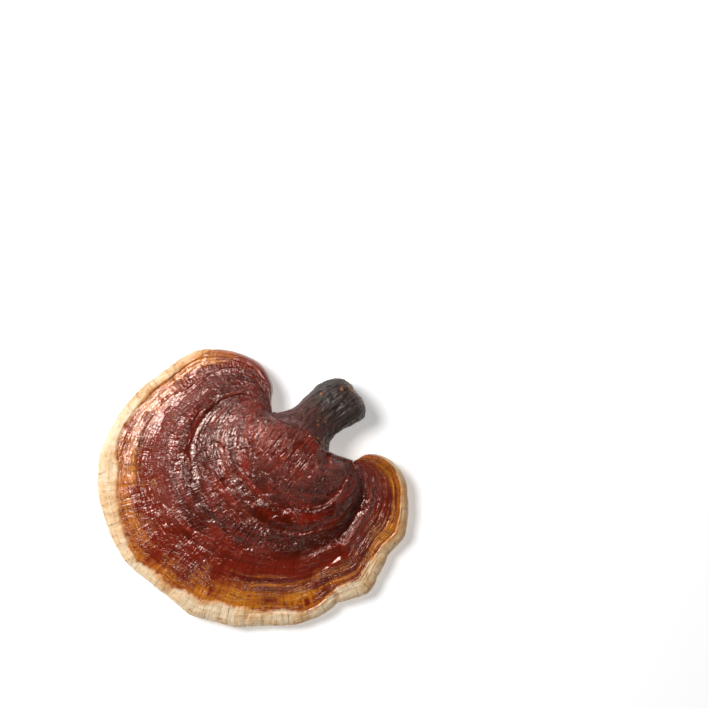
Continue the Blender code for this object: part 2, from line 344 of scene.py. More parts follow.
# A place on the cap has a share, how far round the margin it is from the notch's left corner (0) to its right
# one (1), and a growth, how far out it is from the stem (0) to the margin's crest (1) and on round the edge.
CROWN_HEIGHT = 29.0
CORNER_HEIGHTS = (17.0, 15.5)     # of the crust beside the stem, at the notch's left and right corner
HUMP = 2.4
HUMP_GROWTH = 0.14
HUMP_SPREAD = 0.13
SLOPE_START = 1.5                 # the higher this is, the later the top begins to fall
SLOPE_HOLLOW = 1.5                # the higher this is, the more hollow its lower slope
MARGIN_CREST = 8.8
MARGIN_ROLL = (1.0, 4.4)          # the rolled edge's width, at the corners and where it is full
MARGIN_FILLS_BY = 0.17            # share at which the margin is full, and how it fills
MARGIN_FILLING = 0.7
FOOT_WAVE = 1.05                  # the margin's foot rises and falls round the cap
FOOT_WAVES = 5
FOOT_BEARING = radians(190)
FOOT_DIP = 0.5
CORNER_FOOT = 5.0
ROOT_UNDERSIDE = 5.0
UNDERSIDE_VAULT = 4.0
SEAM_BEARING = radians(58.1)      # the crust ends over the stem on a line that faces this way
SEAM_DISTANCE = 3.7
SEAM_LEFT = 17.6
SEAM_RIGHT = 22.2
FIRST_BEARINGS = (radians(165), radians(300))   # growth lines leave that line between these directions
GROWTH_BEND = 0.9
SCALLOP_GROWTH = 4                # how late in their growth the scallops begin, and their share
SCALLOP_SHARE = 0.035
TURN_SHARE = 0.06
CORNER_SHARE = 0.03
MARGIN = (
    (-14.3, 13.0), (-14.2, 17.2), (-13.6, 21.0), (-14.2, 25.3), (-18.5, 32.2), (-25.4, 36.5),
    (-34.4, 39.1), (-45.2, 39.3), (-52.9, 36.1), (-59.8, 31.1), (-69.9, 23.6), (-78.7, 14.2),
    (-85.2, 3.4), (-89.7, -8.2), (-90.1, -20.7), (-88.8, -28.8), (-84.7, -40.9), (-78.7, -51.8),
    (-69.7, -60.2), (-59.6, -68.0), (-49.5, -76.1), (-37.4, -79.4), (-29.3, -81.5), (-17.2, -80.9),
    (-4.3, -80.4), (7.7, -76.1), (14.4, -71.4), (21.5, -69.0), (28.3, -65.8), (33.5, -56.4),
    (37.4, -48.8), (43.0, -42.2), (44.9, -34.0), (44.9, -25.8), (43.6, -17.2), (39.1, -10.1),
    (32.8, -6.2), (26.5, -5.8), (21.9, -8.5),
)
# The crust's edge over the stem: (share, how far it wanders towards the stem, how thick it is on the bark).
CRUST_EDGE = ((0.0, 0.0, 0.6), (0.2, 0.7, 0.2), (0.45, 1.0, 0.4), (0.55, -0.4, 1.6), (0.62, -1.6, 2.4),
              (0.8, -1.8, 2.4), (0.9, -0.9, 1.4), (1.0, 0.0, 0.8))
CRUST_LIP = 1.6                   # radius of that edge
CRUST_DROP_GROWTH = 0.13          # the crust comes down to the bark over this much growth
CRUST_DROP_LIMIT = 4.0
BARK_SINKS = 0.8                  # the bark's relief lowers it by about this
BARK_ENDS = (1.02, 0.12)          # the bark ends here, in half-widths from its middle line, over this much
# Furrows and ridges that follow the growth rings: points (share, growth, height), how far each reaches
# towards the stem and towards the margin, and how dark and how rusty its line is. The darkness is partly the
# crust's own darker lines and partly painted shade in the furrows.
RINGS = (
    (((0.03, 0.42, 0.0), (0.10, 0.49, -0.9), (0.16, 0.535, -1.2), (0.30, 0.56, -1.3), (0.36, 0.55, -0.6),
      (0.43, 0.54, 0.0)), 0.075, 0.028, 0.6, 0.3),
    (((0.10, 0.66, 0.0), (0.16, 0.68, 0.7), (0.30, 0.68, 0.8), (0.40, 0.67, 0.3), (0.46, 0.66, 0.0)),
     0.06, 0.09, 0.0, 0.0),
    (((0.38, 0.40, 0.0), (0.50, 0.385, -0.7), (0.60, 0.37, -1.0), (0.66, 0.345, -1.4), (0.73, 0.335, -1.6),
      (0.78, 0.285, -1.4), (0.84, 0.22, -0.7), (0.90, 0.15, 0.0)), 0.07, 0.022, 0.3, 0.3),
    (((0.48, 0.475, 0.0), (0.55, 0.48, -0.4), (0.70, 0.485, -0.7), (0.75, 0.48, -0.7), (0.80, 0.455, -0.5),
      (0.88, 0.38, 0.0)), 0.03, 0.016, 0.2, 0.5),
    (((0.62, 0.60, 0.0), (0.72, 0.585, -1.0), (0.80, 0.565, -2.0), (0.86, 0.50, -2.3), (0.92, 0.40, -1.4),
      (0.97, 0.30, 0.0)), 0.085, 0.055, 0.9, 0.0),
    (((0.67, 0.66, 0.0), (0.73, 0.657, 0.5), (0.80, 0.645, 0.8), (0.86, 0.61, 0.9), (0.91, 0.56, 0.6),
      (0.96, 0.48, 0.0)), 0.020, 0.035, 0.0, 0.2),
    (((0.46, 0.77, 0.0), (0.50, 0.74, -0.3), (0.55, 0.71, -0.35), (0.60, 0.69, -0.3), (0.66, 0.69, 0.0)),
     0.012, 0.010, 0.5, 0.0),
    (((0.50, 0.82, 0.0), (0.55, 0.80, -0.35), (0.60, 0.775, -0.4), (0.68, 0.80, -0.3), (0.73, 0.83, 0.0)),
     0.014, 0.012, 0.6, 0.0),
    (((0.25, 0.77, 0.0), (0.29, 0.775, -0.35), (0.35, 0.755, -0.4), (0.42, 0.77, -0.3), (0.47, 0.79, 0.0)),
     0.012, 0.010, 0.6, 0.5),
    (((0.23, 0.86, 0.0), (0.28, 0.85, -0.4), (0.33, 0.83, -0.5), (0.38, 0.825, -0.4), (0.43, 0.84, 0.0)),
     0.010, 0.012, 1.0, 0.0),
    (((0.72, 0.80, 0.0), (0.745, 0.77, 0.6), (0.765, 0.745, 1.1), (0.785, 0.78, 0.6), (0.81, 0.83, 0.0)),
     0.018, 0.05, 0.0, 0.3),
    (((0.80, 0.76, 0.0), (0.85, 0.75, -0.3), (0.90, 0.73, -0.35), (0.96, 0.72, 0.0)),
     0.014, 0.012, 0.5, 0.2),
    (((0.80, 0.87, 0.0), (0.84, 0.86, -0.3), (0.90, 0.86, -0.3), (0.96, 0.87, 0.0)),
     0.012, 0.010, 0.5, 0.0),
)
RING_FADE = 0.04                  # share over which their tint fades in at both ends
RUST_HALF_WIDTH = 0.006           # growth
# Where the cream of the margin begins, and where the red crust starts to turn to ochre: (share, growth).
CREAM_FROM = (
    (0.0, 1.16), (0.10, 1.13), (0.13, 1.03), (0.20, 1.0), (0.25, 0.99), (0.285, 0.985), (0.33, 0.935),
    (0.37, 0.95), (0.45, 0.985), (0.50, 0.985), (0.55, 0.957), (0.60, 0.935), (0.66, 0.965), (0.72, 0.985),
    (0.755, 0.93), (0.79, 0.935), (0.83, 0.975), (0.87, 0.98), (0.92, 1.0), (0.96, 1.02), (1.0, 1.08),
)
OCHRE_FROM = (
    (0.0, 1.12), (0.07, 1.02), (0.10, 0.93), (0.13, 0.86), (0.16, 0.80), (0.20, 0.79), (0.27, 0.79),
    (0.35, 0.77), (0.42, 0.80), (0.47, 0.84), (0.52, 0.82), (0.57, 0.75), (0.65, 0.74), (0.72, 0.77),
    (0.765, 0.74), (0.81, 0.77), (0.86, 0.70), (0.92, 0.70), (1.0, 0.76),
)
CREAM_SWELL = (0.22, 0.8)         # the cream rises and the crust sinks by this, over this width
CREAM_GROOVES = ((-0.7, 0.25, 0.8), (2.4, 0.18, 0.5))   # distance past that edge, depth and half-width
CREAM_REACH = 3.5
CREAM_FADE = 0.12                 # share over which they fade in at the corners
EDGE_GROWTH = 0.16                # growth that the rolled edge adds, from its crest to its foot
LAYERS = (0.12, 3.3, 9)           # the rolled edge's layers: depth, how many go down it, how they slant
RELIEF_INSET = (0.3, 0.05)        # how far in the bare skin lies, on top and at the side
# Creases that run in from the margin: (share, growth they reach, depth, half-width in mm of margin).
CREASES = (
    (0.131, 0.97, 0.3, 0.9), (0.178, 0.80, 0.5, 0.8), (0.235, 0.97, 0.3, 0.8), (0.270, 0.96, 0.4, 0.8),
    (0.305, 0.97, 0.2, 1.2), (0.338, 0.93, 0.9, 0.8), (0.372, 0.96, 0.3, 0.9), (0.406, 0.95, 0.5, 0.8),
    (0.435, 0.95, 0.3, 1.2), (0.460, 0.94, 0.6, 0.8), (0.490, 0.95, 0.2, 1.0), (0.515, 0.94, 0.5, 0.8),
    (0.556, 0.97, 0.3, 0.9), (0.585, 0.95, 0.3, 0.8), (0.620, 0.92, 0.9, 0.7), (0.645, 0.98, 0.2, 0.9),
    (0.667, 0.95, 0.6, 0.8), (0.700, 0.97, 0.2, 1.0), (0.736, 0.86, 1.5, 1.0), (0.795, 0.88, 0.7, 1.0),
    (0.826, 0.93, 0.9, 0.9), (0.868, 0.96, 0.4, 0.8), (0.905, 0.95, 0.3, 0.9), (0.940, 0.95, 0.2, 0.9),
)
CREASE_SHOWS = (0.6, 0.45)        # part of a crease's depth on top and at the side
CREASE_WANDER = (0.002, 60, 40)   # share it wanders by, and how it bends
CREASE_BEGINS = 0.02              # the least growth over which it deepens
# The crack where the crust has lifted off the cream: (share, growth).
CRACK = ((0.16, 1.02), (0.19, 0.985), (0.25, 0.975), (0.28, 0.945), (0.335, 0.925), (0.36, 0.94))
CRACK_DEPTH = 0.5
CRACK_HALF_WIDTH = 0.0035         # growth
CRACK_FADE = 0.02                 # share
CRACK_WANDER = ((0.003, 190), (0.002, 471))   # growth it wanders by, and how it bends
# Patches of the crust, each (share, growth, half its share, half its growth, strength).
PATCHES = {
    # The dark patches are partly the crust's own darker tone and partly painted shade: on slopes that face
    # away from the lamp, and over places that the lamp lights too brightly.
    "dark_tone_and_shade": ((0.84, 0.50, 0.07, 0.09, 0.6), (0.91, 0.33, 0.05, 0.12, 0.5), (0.75, 0.57, 0.07, 0.05, 0.5),
             (0.62, 0.12, 0.09, 0.07, 0.6), (0.30, 0.50, 0.09, 0.05, 0.5), (0.02, 0.60, 0.04, 0.5, 0.8),
             (0.04, 0.08, 0.05, 0.12, 1.0), (0.77, 0.42, 0.03, 0.03, 0.6), (0.19, 0.84, 0.03, 0.06, 0.6),
             (0.60, 0.80, 0.03, 0.03, 0.5),
             (0.49, 0.84, 0.04, 0.05, 0.5), (0.45, 0.60, 0.06, 0.06, 0.4), (0.65, 0.89, 0.012, 0.02, 1.2),
             (0.30, 0.91, 0.07, 0.05, 0.7)),
    "red": ((0.69, 0.41, 0.06, 0.035, 1.1), (0.78, 0.28, 0.06, 0.10, 0.6), (0.60, 0.35, 0.06, 0.06, 0.5),
            (0.42, 0.33, 0.05, 0.04, 0.5), (0.17, 0.32, 0.05, 0.03, 0.6),
            (0.53, 0.65, 0.03, 0.08, 0.5), (0.72, 0.20, 0.04, 0.05, 0.5), (0.45, 0.50, 0.06, 0.05, 0.4),
            (0.24, 0.58, 0.08, 0.02, 0.6), (0.86, 0.75, 0.05, 0.06, 0.6), (0.20, 0.87, 0.02, 0.03, 0.7)),
    # Dull patches are rougher, and their colour is a painted sheen: the soft reflection on the dull lacquer.
    "dull_and_sheen": ((0.13, 0.78, 0.04, 0.18, 0.8), (0.20, 0.74, 0.05, 0.05, 0.8), (0.41, 0.72, 0.05, 0.05, 0.8),
             (0.30, 0.72, 0.08, 0.10, 0.4), (0.25, 0.33, 0.10, 0.08, 0.5), (0.83, 0.33, 0.04, 0.06, 0.5)),
    "golden": ((0.55, 0.91, 0.03, 0.05, 1.0), (0.61, 0.90, 0.03, 0.06, 1.2), (0.69, 0.90, 0.04, 0.07, 1.4),
               (0.33, 0.88, 0.06, 0.06, 1.2), (0.14, 0.96, 0.05, 0.06, 1.2), (0.24, 0.93, 0.04, 0.04, 0.9),
               (0.84, 0.92, 0.05, 0.06, 1.1), (0.92, 0.89, 0.05, 0.06, 0.9)),
    "tanned": ((0.90, 1.02, 0.13, 0.16, 1.0), (0.12, 1.05, 0.06, 0.15, 0.7), (0.68, 1.08, 0.05, 0.06, 0.5)),
    "streaky": ((0.62, 0.88, 0.12, 0.14, 1.0), (0.48, 0.90, 0.06, 0.10, 0.7), (0.15, 0.92, 0.04, 0.12, 0.6)),
    "wrinkled": ((0.22, 0.69, 0.10, 0.12, 0.7), (0.56, 0.55, 0.10, 0.05, 1.8), (0.55, 0.28, 0.08, 0.07, 1.6),
                 (0.72, 0.22, 0.05, 0.06, 1.8), (0.42, 0.58, 0.10, 0.12, 0.4), (0.45, 0.82, 0.15, 0.05, 0.3),
                 (0.65, 0.88, 0.15, 0.08, 0.1), (0.86, 0.61, 0.07, 0.04, 0.8),
                 (0.09, 0.75, 0.06, 0.25, 0.6)),
    "ringed": ((0.25, 0.48, 0.11, 0.06, 1.2), (0.24, 0.30, 0.12, 0.10, 0.9), (0.24, 0.72, 0.12, 0.10, 0.5),
               (0.36, 0.77, 0.10, 0.05, 1.0), (0.55, 0.82, 0.12, 0.06, 0.7), (0.80, 0.50, 0.12, 0.12, 0.5),
               (0.85, 0.78, 0.08, 0.15, 0.7), (0.77, 1.00, 0.05, 0.15, 1.0)),
    "fibrous": ((0.45, 0.12, 0.12, 0.17, 1.2), (0.33, 0.10, 0.10, 0.12, 0.9), (0.60, 0.12, 0.10, 0.14, 0.8)),
    "barky": ((0.30, -0.01, 0.20, 0.055, 1.0), (0.05, 0.10, 0.06, 0.15, 0.5)),
}

COLUMNS = 560                     # growth lines: the outer rows carry them all, the others every 2nd or 4th
FIRST_SHARE = 0.004
TOP_ROWS = ((0.15, 22, 4), (0.30, 23, 2), (1.0, 114, 1))   # (up to this growth, rows, every nth line)
EDGE_ROWS = 14
UNDERSIDE_ROWS = ((0.35, 20, 2), (0.0, 9, 4))
WALL_TURNS = (15, 35, 60, 90)     # degrees round the crust's edge
WALL_SET_BACK = 0.8               # the foot of the wall under it, in radii of that edge
WALL_FOOT_RISE = 1.0
WALL_NTH = 4
CURVE_STEPS = 24
MARGIN_LENGTH = 346.0             # mm of margin for a whole share, and mm of crust for a whole growth
GROWTH_LENGTH = 92.0
MAP_WIDTH = 205.0                 # mm across the surface map, for the top and for the underside
UNDER_MAP_WIDTH = 560.0
MAP_BORDER = 0.01                 # parts of the map left free round it and between the two
MAP_GAP = 0.02
UNROLLED = 1.7                    # width of the rolled edge on the map, in its own widths
WALL_MAP_STEP = 1.0               # between the wall's rows on the map, and more for the lowest
WALL_MAP_FOOT = 3.0
CAP_RELIEF = {"Wrinkle spacing": 2.4, "Wrinkle height": 1.0, "Line spacing": 1.6, "Line height": 0.8,
              "Fibre height": 1.3, "Lump height": 1.1, "Pit depth": 0.7}
FIBRE_BEARING = radians(52)
RELIEF_FIBRE = (0.014, 0.0018)    # length and width, in metres
CRUST_FIBRE = (0.016, 0.0013)
CRUST_LUMP = 0.006
PIT_SPACING = 0.0042
FREE_FOOT = (101.0, 106.0)        # the relief ends between these distances across
SPLIT_LINE = (0.0025, 0.0002)     # a squared noise is a line where it falls between these
CRUST_TINT = (1.0, 0.74, 0.66)    # of what the lacquer mirrors
CRUST_DARK = (0.056, 0.006, 0.002)
CRUST_MID = (0.180, 0.014, 0.005)
CRUST_LIGHT = (0.290, 0.024, 0.010)
# A greyed pink: the painted sheen of dull lacquer.
CRUST_PAINTED_SHEEN = (0.180, 0.036, 0.026)
CRUST_RED = (0.300, 0.016, 0.006)
RUST = (0.360, 0.070, 0.014)
RIPENING = ((0.2, (0.270, 0.045, 0.012)), (0.5, (0.370, 0.080, 0.013)), (0.8, (0.520, 0.135, 0.017)),
            (1.05, (0.600, 0.175, 0.018)))
GOLDEN = (0.740, 0.240, 0.018)
CREAM = (0.850, 0.560, 0.290)
CREAM_TAN = (0.680, 0.340, 0.110)
CREAM_WHITE = (0.920, 0.710, 0.460)
# Brown of real stains and specks, and of the painted shade at the cream's brink.
BROWN_STAIN_AND_SHADE = (0.230, 0.060, 0.016)
PORED = (0.520, 0.370, 0.220)
PORED_DARK = (0.300, 0.190, 0.110)


def catmull_rom(before, start, end, after, t):
    return 0.5 * (2 * start + (end - before) * t
                  + (2 * before - 5 * start + 4 * end - after) * t ** 2
                  + (3 * start - before - 3 * end + after) * t ** 3)


def points_along(points, shares):
    """Points at these shares of the length of the smooth curve through the given ones."""
    points = np.array(points)
    padded = np.vstack((2 * points[0] - points[1], points, 2 * points[-1] - points[-2]))
    t = np.linspace(0, 1, CURVE_STEPS, endpoint=False)[:, None]
    fine = np.vstack([catmull_rom(*padded[i:i + 4], t) for i in range(len(points) - 1)] + [points[-1:]])
    length = np.concatenate(([0], np.cumsum(np.hypot(*np.diff(fine, axis=0).T))))
    return np.column_stack([np.interp(shares * length[-1], length, column) for column in fine.T])


def softened(rows, share):
    """Each row averaged with its neighbours within a share of the whole, fewer near the two ends."""
    last = len(rows) - 1
    spans = [min(round(share * last), i, last - i) for i in range(len(rows))]
    return np.array([rows[i - span:i + span + 1].mean(axis=0) for i, span in enumerate(spans)])


def units(rows):
    return rows / np.hypot(*rows.T)[:, None]


def outward_sides(rows):
    along = np.gradient(rows, axis=0)
    return units(np.column_stack((along[:, 1], -along[:, 0])))


def bark_top(places):
    """Height of the bark over these places, and how surely it is there, 0 to 1."""
    at = places @ direction[:2]
    left, right, high, low = [through(at, STEM_SECTIONS, column) for column in (1, 2, 3, 4)]
    beside = (places @ leftwards[:2] - 0.5 * (left + right)) / (0.5 * (left - right))
    rise = np.maximum(0, 1 - np.abs(beside) ** STEM_SQUARENESS) ** (1 / STEM_SQUARENESS)
    ends, over = BARK_ENDS
    return 0.5 * (high + low) + 0.5 * (high - low) * rise, np.clip((ends - np.abs(beside)) / over, 0, 1)


# One growth line for each share: where it leaves the crust's edge over the stem (root), which way it sets off
# (first), where it reaches the margin (crest, edge), and the heights there.
share = np.linspace(FIRST_SHARE, 1, COLUMNS + 1)
edge = points_along(MARGIN, share)
soft_edge = softened(edge, SCALLOP_SHARE)
side = outward_sides(edge)
soft_side = softened(outward_sides(soft_edge), TURN_SHARE)
seam_out = np.array((cos(SEAM_BEARING), sin(SEAM_BEARING)))
seam_right = np.array((seam_out[1], -seam_out[0]))
root = ((SEAM_DISTANCE - CRUST_LIP + through(share, CRUST_EDGE))[:, None] * seam_out
        + (share * (SEAM_LEFT + SEAM_RIGHT) - SEAM_LEFT)[:, None] * seam_right)
from_corner = np.minimum(share, 1 - share)
freedom = np.minimum(1, from_corner / CORNER_SHARE)[:, None]
fullness = np.minimum(1, from_corner / MARGIN_FILLS_BY) ** MARGIN_FILLING
roll = (MARGIN_ROLL[0] + (MARGIN_ROLL[1] - MARGIN_ROLL[0]) * fullness)[:, None]
straight = units(edge - root)
outward = units((1 - freedom) * straight + freedom * side)
soft_outward = units((1 - freedom) * straight + freedom * soft_side)
crest = edge - roll * outward
soft_crest = soft_edge - roll * soft_outward
run = soft_crest - root
run_length = np.hypot(*run.T)[:, None]
direct = np.arctan2(run[:, 1], run[:, 0]) % (2 * pi)
direct[(share > 0.5) & (direct < pi)] += 2 * pi
first = np.clip(direct, *FIRST_BEARINGS)
leaving = GROWTH_BEND * run_length * np.column_stack((np.cos(first), np.sin(first)))
arriving = GROWTH_BEND * run_length * soft_outward
wave = FOOT_WAVE * (1 - np.cos(FOOT_WAVES * (np.arctan2(edge[:, 1], edge[:, 0]) - FOOT_BEARING)))
foot = wave - FOOT_DIP + CORNER_FOOT * (1 - fullness)
corner = CORNER_HEIGHTS[0] * (1 - share) + CORNER_HEIGHTS[1] * share
over_stem = np.sin(pi * share)
root_height = corner + (CROWN_HEIGHT - corner) * over_stem
crest_height = MARGIN_CREST + 0.5 * wave + (corner - MARGIN_CREST) * (1 - fullness)
cream_from = through(share, CREAM_FROM)
ochre_from = through(share, OCHRE_FROM)
bark_level, bark_there = bark_top(root)
above_bark = root_height + BARK_SINKS - bark_level - through(share, CRUST_EDGE, 2)
crust_drop = bark_there * np.clip(above_bark, 0, CRUST_DROP_LIMIT)


def plan(s):
    """Places over the table at growth s of every growth line."""
    smooth = ((2 * s ** 3 - 3 * s ** 2 + 1) * root + (3 * s ** 2 - 2 * s ** 3) * soft_crest
              + (s ** 3 - 2 * s ** 2 + s) * leaving + (s ** 3 - s ** 2) * arriving)
    return smooth + s ** SCALLOP_GROWTH * (crest - soft_crest)


def ring_relief(growth):
    """Height that the furrows and ridges add."""
    height = np.zeros(len(share))
    for points, inner, outer, _, _ in RINGS:
        away = growth - through(share, points)
        reach = np.where(away < 0, inner, outer)
        here = (share > points[0][0]) & (share < points[-1][0])
        height += here * through(share, points, 2) * np.exp(-(away / reach) ** 2)
    return height


def ring_tints(growth):
    """How dark and how rusty the lines of the furrows and ridges are; the darkness is partly painted shade in
    the furrows.
    """
    dark_tone_and_shade, rusty = np.zeros(len(share)), np.zeros(len(share))
    for points, inner, outer, how_dark, how_rusty in RINGS:
        away = growth - through(share, points)
        ends = np.clip(np.minimum(share - points[0][0], points[-1][0] - share) / RING_FADE, 0, 1)
        dark_tone_and_shade += how_dark * ends * np.exp(-(away / np.where(away < 0, inner, outer)) ** 2)
        rusty += how_rusty * ends * np.exp(-(away / RUST_HALF_WIDTH) ** 2)
    return dark_tone_and_shade, rusty


def crease_depth(growth):
    depth = np.zeros(len(share))
    wandering, bends, phase = CREASE_WANDER
    for at, reaches, deep, half_width in CREASES:
        wander = wandering * np.sin(bends * growth + phase * at)
        beside = (share - at - wander) * MARGIN_LENGTH / half_width
        begun = np.clip((growth - reaches) / max(CREASE_BEGINS, 1 - reaches), 0, 1)
        depth += deep * np.exp(-beside ** 2) * begun
    return depth


def crack_strength(growth):
    """How much of the crack there is, 0 to 1."""
    here = np.clip(np.minimum(share - CRACK[0][0], CRACK[-1][0] - share) / CRACK_FADE, 0, 1)
    wander = sum(wandering * np.sin(share * bends) for wandering, bends in CRACK_WANDER)
    return here * np.exp(-((growth - through(share, CRACK) - wander) / CRACK_HALF_WIDTH) ** 2)


def patch_strength(growth, places):
    total = np.zeros(len(share))
    for at, out, half_share, half_growth, strength in places:
        total += strength * np.exp(-((share - at) / half_share) ** 2 - ((growth - out) / half_growth) ** 2)
    return total


def skin_marks(growth, under):
    """What the crust is like along a row."""
    dark_tone_and_shade, rusty = ring_tints(growth)
    marks = {name: (1 - under) * patch_strength(growth, places) for name, places in PATCHES.items()}
    marks["dark_tone_and_shade"] += (1 - under) * dark_tone_and_shade
    marks["rusty"] = (1 - under) * rusty
    marks["along"] = share * MARGIN_LENGTH
    marks["across"] = np.full(len(share), growth * GROWTH_LENGTH)
    marks["underside"] = np.full(len(share), under)
    marks["cream"] = (growth - cream_from) * GROWTH_LENGTH
    marks["ochre"] = np.clip((growth - ochre_from) / (cream_from - ochre_from), -3, 2)
    marks["crease"] = (1 - under) * crease_depth(growth)
    marks["crack"] = (1 - under) * crack_strength(growth)
    return marks


def cream_relief(s):
    """Height that the cream's edge adds: the cream stands over the crust, with a groove on each side."""
    past_edge = np.clip((s - cream_from) * GROWTH_LENGTH, -CREAM_REACH, CREAM_REACH)
    swelling, width = CREAM_SWELL
    height = swelling * np.tanh(past_edge / width)
    for at, depth, half_width in CREAM_GROOVES:
        height -= depth * np.exp(-((past_edge - at) / half_width) ** 2)
    return height * np.minimum(1, from_corner / CREAM_FADE)


def top_row(s):
    fall = (1 - s ** SLOPE_START) ** SLOPE_HOLLOW
    hump = HUMP * over_stem * np.exp(-((s - HUMP_GROWTH) / HUMP_SPREAD) ** 2)
    height = crest_height + (root_height - crest_height) * fall + hump
    height = height + (ring_relief(s) + cream_relief(s)) * fullness
    height -= crust_drop * max(0.0, 1 - s / CRUST_DROP_GROWTH) ** 2
    height -= RELIEF_INSET[0] + CREASE_SHOWS[0] * crease_depth(s) + CRACK_DEPTH * crack_strength(s)
    return np.column_stack((plan(s), height))


def edge_row(turn):
    """The rolled edge, with turn 0 at its crest and pi at its foot."""
    growth = 1 + EDGE_GROWTH * turn / pi
    creased = crease_depth(growth)
    depth, down, slant = LAYERS
    layers = depth * np.abs(np.sin(down * turn + slant * share))
    bulge = sin(turn) * roll - (sin(turn) * (CREASE_SHOWS[1] * creased + layers + RELIEF_INSET[1]))[:, None]
    height = 0.5 * (crest_height + foot) + 0.5 * (crest_height - foot) * cos(turn)
    height -= (RELIEF_INSET[0] + CREASE_SHOWS[0] * creased) * max(0.0, cos(turn)) ** 2
    return np.column_stack((crest + bulge * outward, height))


def underside_row(s):
    level = s * foot + (1 - s) * ROOT_UNDERSIDE
    return np.column_stack((plan(s), level + UNDERSIDE_VAULT * 4 * s * (1 - s)))


# Every row is a line of points at one growth. Going down the list leads once round the cap's section: top,
# rolled edge, underside, and the wall under the crust's edge, whose last row meets the first again.
rows = []                         # (points, growth, under, every nth line)
start = 0.0
for end, count, nth in TOP_ROWS:
    rows += [(top_row(s), s, 0.0, nth) for s in np.linspace(start, end, count, endpoint=False)]
    start = end
for turn in np.linspace(0, pi, EDGE_ROWS):
    rows.append((edge_row(turn), 1 + EDGE_GROWTH * turn / pi, 0.0, 1))
foot_row = len(rows) - 1
start = 1.0
for end, count, nth in UNDERSIDE_ROWS:
    rows += [(underside_row(s), s, 1.0, nth) for s in np.linspace(start, end, count + 1)[1:]]
    start = end
top_edge, low_edge = rows[0][0], rows[-1][0]
wall_foot = low_edge + np.array((*(WALL_SET_BACK * CRUST_LIP * seam_out), WALL_FOOT_RISE))
rows.append((wall_foot, 0.0, 1.0, WALL_NTH))
wall_row = len(rows) - 1
for turn in [radians(degrees) for degrees in reversed(WALL_TURNS)]:
    lip = top_edge[:, :2] + CRUST_LIP * sin(turn) * seam_out
    lip_height = top_edge[:, 2] - CRUST_LIP * (1 - cos(turn))
    rows.append((np.column_stack((lip, lip_height)), 0.0, 0.0, WALL_NTH))

# The surface map spreads the top flat with the rolled edge unrolled round it, and the underside above it.
points, marks, starts, spread, under_spread = [], {}, [], [], []
for k, (place, growth, under, nth) in enumerate(rows):
    starts.append(sum(len(group) for group in points))
    placed = place[::nth] + growth_centre
    placed[:, 2] = np.maximum(placed[:, 2], 0)
    points.append(placed)
    for name, values in skin_marks(growth, under).items():
        marks.setdefault(name, []).append(values[::nth])
    flat = crest if growth > 1 else plan(growth)
    flat = flat + max(0.0, growth - 1) / EDGE_GROWTH * UNROLLED * roll * outward
    if k >= wall_row:
        set_off = WALL_MAP_STEP * (len(rows) - k) + (WALL_MAP_FOOT if k == wall_row else 0.0)
        flat = root + set_off * seam_out
    spread.append(flat[::nth] / MAP_WIDTH)
    under_spread.append(place[::nth, :2] * (-1, 1) / UNDER_MAP_WIDTH)
tips = [np.mean([group[i] for group in points], axis=0) for i in (0, -1)]
points = np.vstack(points + [tips])
marks = {name: np.concatenate(groups + [[groups[0][0], groups[0][-1]]]) for name, groups in marks.items()}
spread = np.vstack(spread + [spread[0][[0, -1]]])
under_spread = np.vstack(under_spread + [under_spread[0][[0, -1]]])
spread += MAP_BORDER - spread.min(axis=0)
under_spread += (MAP_BORDER, spread[:, 1].max() + MAP_GAP) - under_spread.min(axis=0)

# Faces join each row to the next. A finer row has two points for each one of a coarser row.
faces, corner_is_below = [], []
for k, (_, _, _, nth) in enumerate(rows):
    other = (k + 1) % len(rows)
    other_nth = rows[other][3]
    a, b = starts[k], starts[other]
    strip = []
    for i in range(COLUMNS // max(nth, other_nth)):
        if nth == other_nth:
            strip.append((a + i, b + i, b + i + 1, a + i + 1))
        elif nth > other_nth:
            strip += [(a + i, b + 2 * i, b + 2 * i + 1), (a + i, b + 2 * i + 1, a + i + 1),
                      (a + i + 1, b + 2 * i + 1, b + 2 * i + 2)]
        else:
            strip += [(b + i, a + 2 * i + 1, a + 2 * i), (b + i + 1, a + 2 * i + 1, b + i),
                      (b + i + 1, a + 2 * i + 2, a + 2 * i + 1)]
    strip.append((len(points) - 2, b, a))
    strip.append((len(points) - 1, a + COLUMNS // nth, b + COLUMNS // other_nth))
    faces += strip
    corner_is_below += [foot_row <= k < wall_row] * sum(len(face) for face in strip)

cap = new_skin("cap_crust", points, faces, marks)
corners = np.concatenate(faces)
flat = np.where(np.array(corner_is_below)[:, None], under_spread[corners], spread[corners])
cap.data.uv_layers.new(name="OFBake").data.foreach_set("uv", flat.astype(np.float32).ravel())


def grown(graph, mark, long, wide, layer, detail, roughness=0.5):
    """A noise whose cells are this long round the margin and this wide out from the stem, in millimetres."""
    place = graph.vector(mark["along"] / long, mark["across"] / wide, layer)
    return graph.noise(place, 1.0, detail, roughness)


